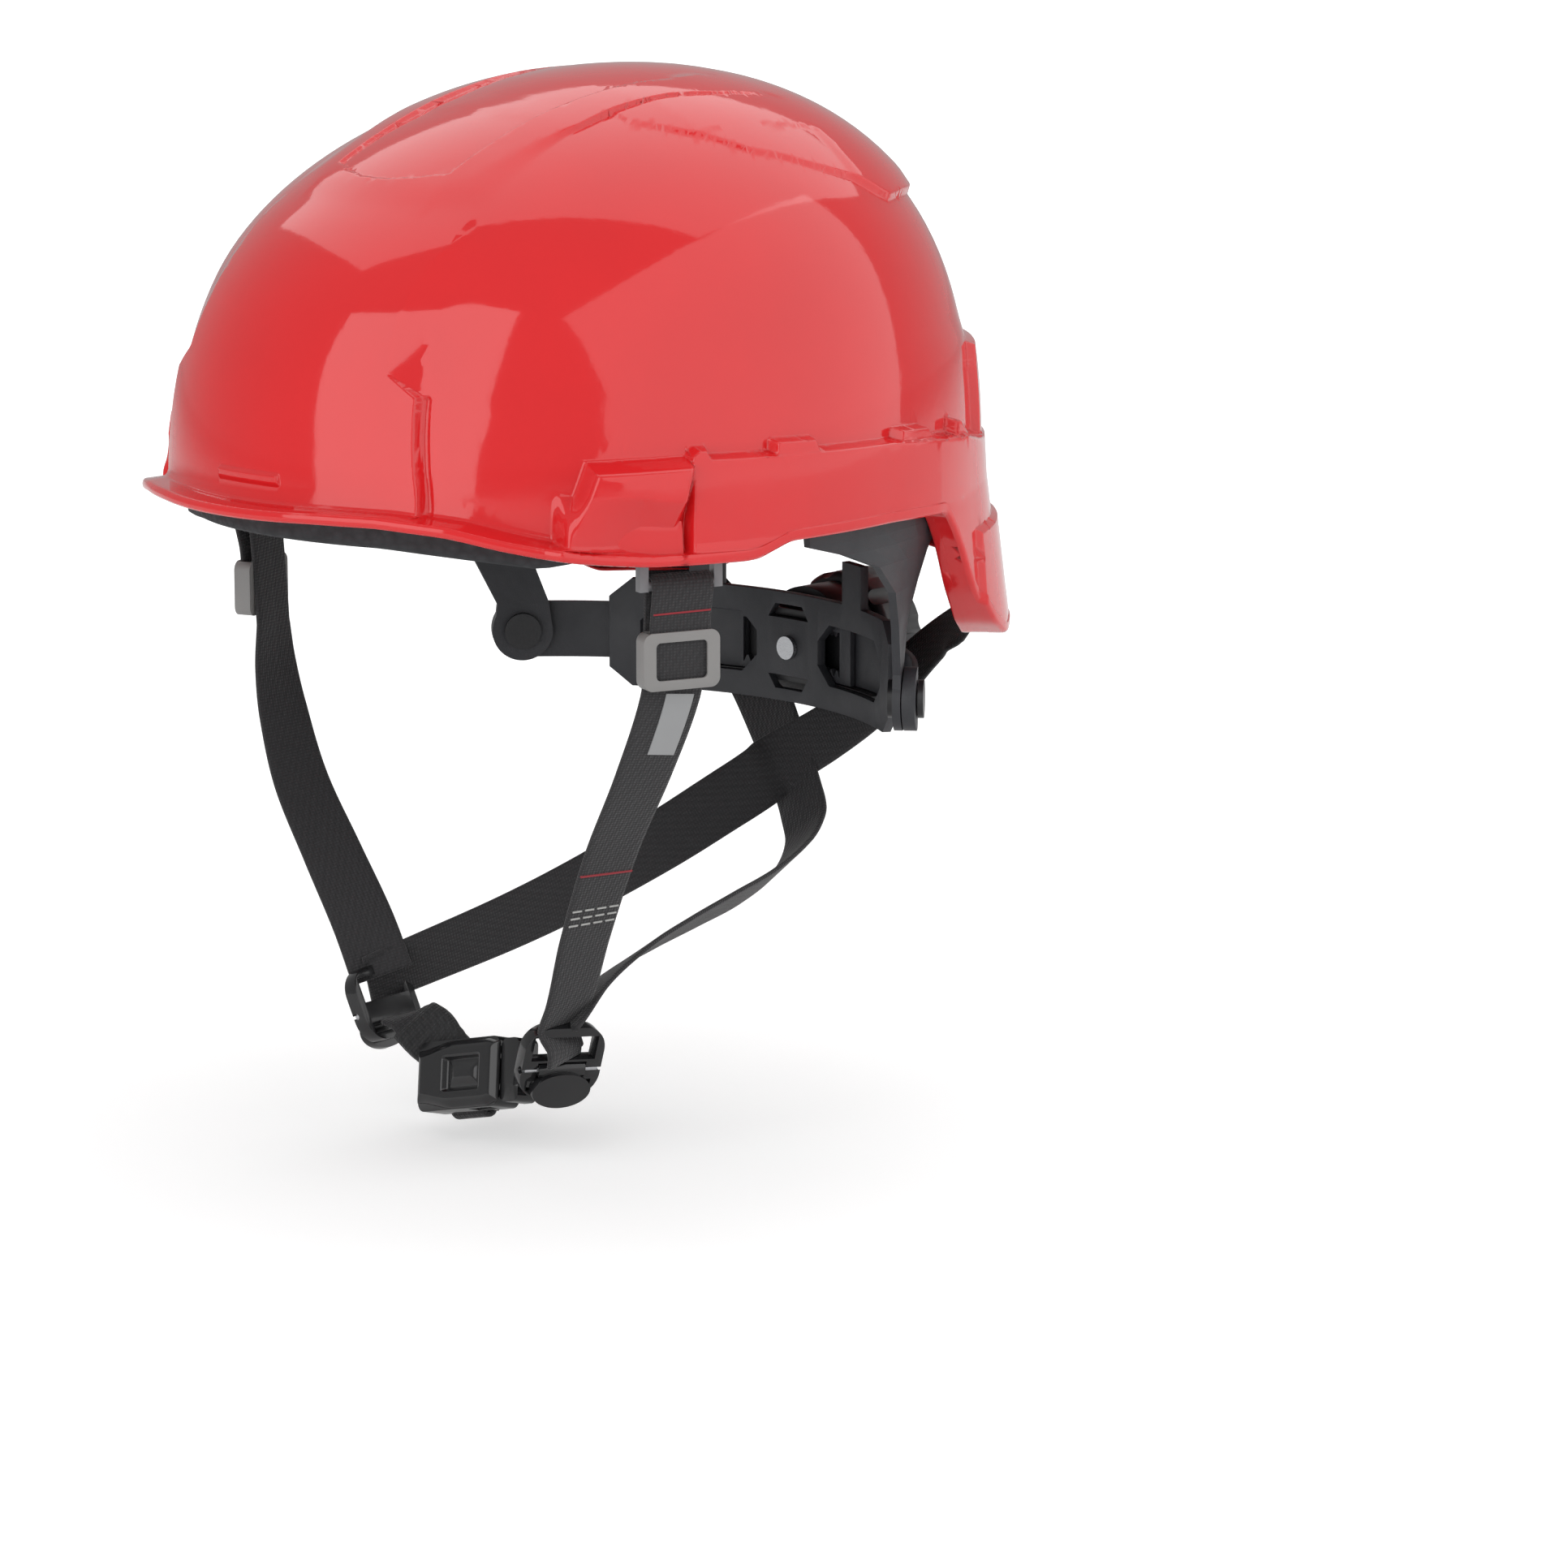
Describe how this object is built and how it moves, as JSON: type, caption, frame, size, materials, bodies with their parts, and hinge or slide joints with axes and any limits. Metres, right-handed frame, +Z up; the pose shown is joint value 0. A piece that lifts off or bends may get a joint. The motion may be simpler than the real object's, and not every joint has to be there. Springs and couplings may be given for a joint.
{
  "type": "climbing helmet",
  "caption": "Glossy hard-shell climbing helmet with a short brim, foam liner, dial-adjusted headband, slotted side bands and a chin strap with a side-release buckle.",
  "frame": {"origin": "middle of the head opening, level with the top of the shell's front rim", "axes": "+Z up, -Y towards the wearer's front, +X towards the wearer's left"},
  "size_m": [0.2317, 0.2915, 0.3296],
  "materials": {
    "shell_red": "gloss",
    "liner": "fine bead texture",
    "padding": "knitted cover",
    "band_black": "satin",
    "trim_black": "semi gloss",
    "buckle_black": "semi gloss",
    "webbing": "woven",
    "elastic": "ribbed",
    "tag_grey": "matt",
    "accent_red": "gloss",
    "steel": "brushed"
  },
  "bodies": {
    "shell_and_harness": {"band_strut_left": "band_black", "band_strut_right": "band_black", "brow_pad": "padding", "buckle_plug": "buckle_black", "chin_strap": "webbing", "crown_pad_centre": "padding", "crown_pad_left": "padding", "crown_pad_right": "padding", "detent_ring": "band_black", "front_hanger_left": "trim_black", "front_hanger_right": "trim_black", "front_strap_left": "webbing", "front_strap_right": "webbing", "hanger_pin_left": "steel", "hanger_pin_right": "steel", "impact_liner": "liner", "lever_pin_left": "steel", "lever_pin_right": "steel", "nape_cradle": "band_black", "plug_arm_front": "buckle_black", "plug_arm_rear": "buckle_black", "ratchet_housing": "band_black", "rear_anchor_left": "steel", "rear_anchor_right": "steel", "rear_strap_left": "webbing", "rear_strap_right": "webbing", "shell": "shell_red", "strap_divider_right": "trim_black", "strap_sleeve": "elastic", "strap_slider_left": "trim_black", "strap_slider_right": "trim_black", "strap_tag": "tag_grey"},
    "size_knob": {"ratchet_knob": "trim_black", "knob_accent": "accent_red", "drive_pinion": "trim_black", "knob_screw": "steel", "knob_pawls": "trim_black"},
    "rack_left": {"band_rack_left": "band_black", "band_rivet_left": "trim_black"},
    "rack_right": {"band_rack_right": "band_black", "band_rivet_right": "trim_black"},
    "lever_left": {"divider_lever_left": "trim_black"},
    "lever_right": {"divider_lever_right": "trim_black"},
    "socket": {"buckle_socket": "buckle_black"}
  },
  "joints": [
    {"name": "knob_turn", "type": "hinge", "parent": "shell_and_harness", "child": "size_knob", "pos_m": [0, 0.118, -0.065], "axis": [0, 1, 0], "range_deg": [-120, 120]},
    {"name": "rack_left_turn", "type": "hinge", "parent": "shell_and_harness", "child": "rack_left", "pos_m": [0, -0.014, -0.065], "axis": [0, 0, 1], "range_deg": [-6.5, 6.5], "deforming": ["band_strut_left"]},
    {"name": "rack_right_turn", "type": "hinge", "parent": "shell_and_harness", "child": "rack_right", "pos_m": [0, -0.014, -0.065], "axis": [0, 0, 1], "range_deg": [-6.5, 6.5], "deforming": ["band_strut_right"]},
    {"name": "lever_left_open", "type": "hinge", "parent": "shell_and_harness", "child": "lever_left", "pos_m": [0.03693, -0.04536, -0.17363], "axis": [-0.2882, -0.9539, 0.0841], "range_deg": [0, 55]},
    {"name": "lever_right_open", "type": "hinge", "parent": "shell_and_harness", "child": "lever_right", "pos_m": [-0.04306, -0.04607, -0.16868], "axis": [-0.1653, 0.986, -0.0224], "range_deg": [0, 55]},
    {"name": "buckle_release", "type": "slide", "parent": "shell_and_harness", "child": "socket", "axis": [-0.9708, 0, -0.2397], "range_m": [0, 0.016], "deforming": ["chin_strap", "strap_sleeve", "plug_arm_front", "plug_arm_rear"]}
  ],
  "couplings": [
    {"joint": "rack_left_turn", "follows": "knob_turn", "ratio": -0.052129},
    {"joint": "rack_right_turn", "follows": "knob_turn", "ratio": 0.053144}
  ]
}
